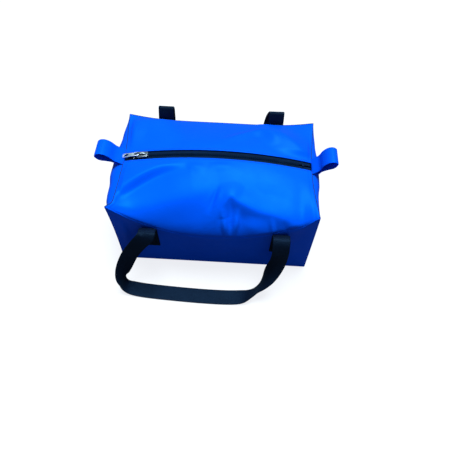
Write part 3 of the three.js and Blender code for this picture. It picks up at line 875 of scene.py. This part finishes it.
for side, name in ((-1, "front"), (1, "rear")):
    zipper_tape(side, name)
    coil(side, name)
    rounded(f"{name}_top_stop", f"zipper_top_stop_{name}", "bag", "steel", STEEL, 0.5)
rounded("bottom_stop", "zipper_bottom_stop", "bag", "zipper_coil", COIL, 0.6)
rounded("slider_body", "zipper_slider", "slider", "steel", STEEL, 0.28)
rounded("pull_tab", "zipper_pull", "pull", "steel", PULL, 0.3)


# --- Straps ----------------------------------------------------------------------------------
WEB_W = 25.0
WEB_T = 1.6
CORD_DEPTH = 0.1
# how far a strap's inner face stands off the middle of the wall it is sewn to
STRAP_OFF = 1.65


def band(name, centres, widths, width, thick, count, samples, cords=0):
    """A flat band through stations, with rounded edges and cords running along it."""
    u = np.linspace(0, 1, count)
    mid = curve(centres, u)
    along = unit(np.gradient(mid, axis=0))
    across = curve(widths, u)
    across = unit(across - along * np.sum(across * along, 1, keepdims=True))
    normal = np.cross(along, across)
    v = np.linspace(-1, 1, samples)
    reach = v * width / 2
    edge_r = thick * 0.45
    past = np.clip((np.abs(reach) - (width / 2 - edge_r)) / edge_r, 0, 1)
    edge = np.sqrt(1 - past**2)
    ribs = CORD_DEPTH * (np.cos(v * math.pi * cords) - 1) / 2
    half = thick / 2 * np.maximum(edge, 0.12) + ribs * edge
    flat = mid[:, None] + across[:, None] * reach[:, None]
    lift = normal[:, None] * half[:, None]
    verts = np.concatenate([(flat + lift).reshape(-1, 3), (flat - lift).reshape(-1, 3)])
    under = count * samples
    faces = grid_faces(count, samples) + grid_faces(count, samples, under, True)
    faces += rim(count, samples, 0, under)
    s = np.concatenate([[0], np.cumsum(np.linalg.norm(np.diff(mid, axis=0), axis=1))])
    uv = np.stack(np.broadcast_arrays(s[:, None], reach[None]), -1).reshape(-1, 2)
    return make(name, verts, faces, np.concatenate([uv, uv]), 60)


# where the two ends of each handle are sewn on
FRONT_X = (-96.0, 98.5)
REAR_X = (-92.0, 90.5)


def tail_path(side, x, z_low, z_leave, crest):
    """Middle of a sewn strap end: up the wall, then curling over to the crest."""
    rows = []
    for z in np.linspace(z_low, z_leave, 9):
        y = wall_depth(x, z, side) + side * (STRAP_OFF + WEB_T / 2)
        rows.append(((x, y, z), (1, 0, 0)))
    y0 = rows[-1][0][1]
    lean = 0.2 if side < 0 else 0.65
    for t in (0.25, 0.5, 0.75):
        a = t * math.pi / 2
        out = (1 - math.cos(a)) * (1 - lean) + t * lean
        up = math.sin(a) * (1 - lean) + t * lean
        at = (x, y0 + (crest[0] - y0) * out, z_leave + (crest[1] - z_leave) * up)
        rows.append((at, (1, 0, 0)))
    return rows


FY, FZ = joint("front_handle_swing")[1:] - (0, 2)
RY, RZ = joint("rear_handle_swing")[1:] - (0, 2)
fx0, fx1 = FRONT_X
FRONT_LOOP = [
    ((fx0, FY, FZ), (1, 0, 0)),
    ((fx0, FY - 3.6, FZ - 0.2), (1, 0, 0)),
    ((fx0 - 2.4, FY - 8.2, FZ - 4.2), (1, 0, -0.15)),
    ((-108.5, -127, 98), (1, 0, -0.5)),
    ((-121.5, -132, 79), (1, 0.05, -0.6)),
    ((-131.5, -137, 57), (1, 0.1, -0.75)),
    ((-138, -141.5, 37), (0.6, 0.3, -0.9)),
    ((-140.5, -145.5, 19.5), (0.2, 0.45, -1)),
    ((-137.5, -149, 8.6), (0.35, 1, -0.6)),
    ((-127, -151.5, 3.6), (0.15, 1, -0.1)),
    ((-103, -154.2, 1.9), (0.05, 1, 0)),
    ((-60, -156.6, 1.5), (-0.02, 1, 0)),
    ((-15, -158.2, 1.4), (0, 1, 0)),
    ((25, -158.2, 1.6), (0.02, 1, 0)),
    ((48, -156.5, 3.6), (0.12, 1, -0.1)),
    ((63.5, -152.2, 9.6), (0, 0.9, -0.6)),
    ((73.5, -147, 18), (-0.2, 0.65, -0.8)),
    ((82, -142, 31), (-0.4, 0.65, -0.6)),
    ((90, -136, 50), (-0.8, 0.5, -0.3)),
    ((96.5, -131.5, 73), (-1, 0.15, -0.05)),
    ((fx1, -128.5, 93), (-1, 0, 0)),
    ((fx1, FY - 9.6, FZ - 6.5), (-1, 0, 0)),
    ((fx1, FY - 4.2, FZ - 0.9), (-1, 0, 0)),
    ((fx1, FY, FZ), (-1, 0, 0)),
]
rx0, rx1 = REAR_X
REAR_LOOP = [
    ((rx0, RY, RZ), (1, 0, 0)),
    ((rx0, RY + 3.6, RZ - 0.2), (1, 0, 0)),
    ((rx0, RY + 8.6, RZ - 6), (1, 0, 0)),
    ((-92.5, 121, 128), (1, 0, 0)),
    ((-94, 127, 100), (1, -0.1, 0)),
    ((-97, 133, 72), (1, -0.5, 0)),
    ((-98, 139.5, 44), (0.7, -1, -0.1)),
    ((-94, 145.5, 20), (0.4, -1, 0)),
    ((-82, 149, 5.4), (0.1, -1, 0)),
    ((-58, 150.5, 1.8), (0, -1, 0)),
    ((-20, 151.5, 1.4), (0, -1, 0)),
    ((20, 151.5, 1.4), (0, -1, 0)),
    ((58, 150.5, 1.8), (0, -1, 0)),
    ((80, 149, 5.4), (-0.1, -1, 0)),
    ((89, 145.5, 20), (-0.4, -1, 0)),
    ((90, 139.5, 44), (-0.7, -1, -0.1)),
    ((87, 133, 72), (-1, -0.5, 0)),
    ((84.5, 127, 100), (-1, -0.1, -0.1)),
    ((86.5, 121.5, 125), (-1, 0, -0.15)),
    ((rx1 - 1, RY + 8.6, RZ - 6), (-1, 0, -0.08)),
    ((rx1, RY + 3.6, RZ - 0.2), (-1, 0, 0)),
    ((rx1, RY, RZ), (-1, 0, 0)),
]


def handle(side, name, xs, z_low, z_leave, crest, loop):
    left = tail_path(side, xs[0], z_low, z_leave, crest)
    right = [(p, (-1, 0, 0)) for p, _ in tail_path(side, xs[1], z_low, z_leave, crest)]
    stations = left + loop + right[::-1]
    obj = band(
        name + "_handle_strap",
        [s[0] for s in stations],
        [s[1] for s in stations],
        WEB_W,
        WEB_T,
        count=380,
        samples=41,
        cords=10,
    )
    paint(obj, BLACK)
    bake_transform(obj)
    parts = (name + "_handle_tail_left", name + "_handle_tail_right", name + "_handle_loop")
    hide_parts(*parts)


handle(-1, "front", FRONT_X, 53, 103, (FY, FZ), FRONT_LOOP)
handle(1, "rear", REAR_X, 72, 123, (RY, RZ), REAR_LOOP)


# half the width of the sewn squares
STITCH_HALF = 9.0


def box_stitch(side, name, end, x, z0, z1):
    """A sewn square with a cross, through a strap end."""
    def place(dx, z):
        return (x + dx, wall_depth(x + dx, z, side) + side * (STRAP_OFF + WEB_T), z)

    w = STITCH_HALF
    corners = [(-w, z0), (w, z0), (w, z1), (-w, z1), (-w, z0)]
    lines = list(zip(corners, corners[1:])) + [((-w, z0), (w, z1)), ((w, z0), (-w, z1))]
    parts = []
    for a, b in lines:
        ts = np.linspace(0, 1, 24)
        path = [place(a[0] + (b[0] - a[0]) * t, a[1] + (b[1] - a[1]) * t) for t in ts]
        parts += stitches(path, (0, side, 0), 2.4, 0.9, 0.36, 0.14)
    verts, faces = joined(parts)
    obj = make(f"{name}_{end}_box_stitching", verts, faces)
    piece(paint(obj, DARK_THREAD), "bag", "thread", f"{name}_box_stitch_{end}")


for end, k in (("left", 0), ("right", 1)):
    box_stitch(-1, "front", end, FRONT_X[k], 58, 94)
    box_stitch(1, "rear", end, REAR_X[k], 77, 113)


# --- End loops -------------------------------------------------------------------------------
# a loop seen from its side: how far out along the band, and how far from its middle line
TEARDROP = [
    (0, -0.85), (10, -2.4), (20, -5.6), (28, -7.2), (34.5, -5.4), (38.3, 0),
    (34.5, 5.4), (28, 7.2), (20, 5.6), (10, 2.4), (0, 0.85),
]


LOOP_WIDTH = 30.0
LOOP_THICK = 1.3
LOOP_REACH = 40
LOOP_STEP = 0.5
# the band leaves the seam steeper than its rise by LOOP_CURL degrees, and levels to it at LOOP_EVEN
LOOP_CURL = 26
LOOP_EVEN = 19
# how far the ends run on under the seam
LOOP_TUCK = 7.0


def end_loop(side, name, root, rise):
    """A band folded back on itself: its lower end is tucked in flat under the drawn-in seam, and
    its upper end reaches under the seam and comes out to it again.
    """
    a = math.radians(rise)
    reach_at = np.linspace(0, LOOP_REACH, int(LOOP_REACH / LOOP_STEP) + 1)
    slope = a + math.radians(LOOP_CURL) * (1 - reach_at / LOOP_EVEN)
    run = np.cumsum(np.cos(slope)) * LOOP_STEP
    climb = np.cumsum(np.sin(slope)) * LOOP_STEP
    centres = []
    for r, h in TEARDROP:
        x, z, turn = (np.interp(r, reach_at, values) for values in (run, climb, slope))
        x = root[0] + side * (x - h * math.sin(turn))
        centres.append((x, 0.0, root[1] + z + h * math.cos(turn)))
    tuck = root[0] - side * LOOP_TUCK
    first_h, last_h = TEARDROP[0][1], TEARDROP[-1][1]
    centres.insert(0, (tuck, 0.0, root[1] + 0.4 + first_h))
    # the upper end doubles back: it reaches under the seam and comes out to it again
    centres.insert(-1, (tuck, 0.0, root[1] + 0.4 + last_h))
    widths = [(0, side, 0)] * len(centres)
    obj = band(name + "_pull_loop", centres, widths, LOOP_WIDTH, LOOP_THICK, 132, 31)
    paint(obj, BLUE)
    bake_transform(obj)
    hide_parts(name + "_end_loop")


end_loop(-1, "left", (-149, 140.8), 26)
end_loop(1, "right", (149.4, 141), 46)


# --- Stage, light and camera -----------------------------------------------------------------
def stage_floor():
    """A pale floor. The camera sees it nearly evenly lit, and the bag gets little light back."""
    bpy.ops.mesh.primitive_plane_add(size=8)
    floor = bpy.context.object
    floor.name = "floor"
    mat, tree, shader = material("floor", (0.05, 0.055, 0.07), 0.8, 0, 0.1)
    pale = node(tree, "ShaderNodeBsdfDiffuse", Color=(0.9, 0.9, 0.9, 1))
    even = node(tree, "ShaderNodeEmission", Color=(0.95, 0.96, 1, 1), Strength=1.0)
    soft = node(tree, "ShaderNodeMixShader", Fac=0.86)
    tree.links.new(pale.outputs["BSDF"], soft.inputs[1])
    tree.links.new(even.outputs["Emission"], soft.inputs[2])
    path = node(tree, "ShaderNodeLightPath")
    seen = node(tree, "ShaderNodeMixShader")
    tree.links.new(path.outputs["Is Camera Ray"], seen.inputs["Fac"])
    tree.links.new(shader.outputs["BSDF"], seen.inputs[1])
    tree.links.new(soft.outputs["Shader"], seen.inputs[2])
    tree.links.new(seen.outputs["Shader"], tree.nodes["Material Output"].inputs["Surface"])
    paint(floor, mat)


def studio_world(seen, lit):
    world = bpy.data.worlds.new("studio")
    scene.world = world
    world.use_nodes = True
    tree = world.node_tree
    back = tree.nodes["Background"]
    path = node(tree, "ShaderNodeLightPath")
    hue = mix_colours(tree, path.outputs["Is Camera Ray"], (0.42, 0.8, 1.0), (0.95, 0.97, 1))
    tree.links.new(hue.outputs["Color"], back.inputs["Color"])
    level = node(tree, "ShaderNodeMapRange")
    level.inputs["To Min"].default_value = lit
    level.inputs["To Max"].default_value = seen
    tree.links.new(path.outputs["Is Camera Ray"], level.inputs["Value"])
    tree.links.new(level.outputs["Result"], back.inputs["Strength"])


def lamp(name, toward, energy, spread):
    light = bpy.data.objects.new(name, bpy.data.lights.new(name, "SUN"))
    light.data.energy = energy
    light.data.angle = math.radians(spread)
    light.data.color = (0.86, 0.98, 1)
    light.rotation_mode = "QUATERNION"
    light.rotation_quaternion = Vector(toward).to_track_quat("Z", "Y")
    scene.collection.objects.link(light)


stage_floor()
studio_world(1.0, 0.23)
lamp("key", (0.08, 0.2, 1.0), 6.5, 28)
lamp("fill", (0.1, -1.0, 0.4), 0.28, 60)
scene.view_settings.view_transform = "Standard"
scene.view_settings.look = "None"


def aim_camera(place, yaw, pitch, roll):
    """A 36 mm lens at place, turned by yaw, tipped down by pitch and rolled, all in degrees."""
    camera = bpy.data.objects.new("camera", bpy.data.cameras.new("camera"))
    camera.data.sensor_width = 36
    camera.data.lens = 36
    camera.data.clip_start = 0.01
    yaw, pitch, roll = (math.radians(a) for a in (yaw, pitch, roll))
    level = math.cos(pitch)
    ahead = Vector((math.sin(yaw) * level, math.cos(yaw) * level, -math.sin(pitch)))
    flat = Vector((math.cos(yaw), -math.sin(yaw), 0))
    over = flat.cross(ahead)
    right = flat * math.cos(roll) + over * math.sin(roll)
    up = over * math.cos(roll) - flat * math.sin(roll)
    turn = Matrix((right, up, -ahead)).transposed()
    camera.matrix_world = Matrix.Translation(place) @ turn.to_4x4()
    scene.collection.objects.link(camera)
    scene.camera = camera


aim_camera((0.0235, -0.4559, 0.6605), yaw=-1.164, pitch=56.566, roll=2.118)
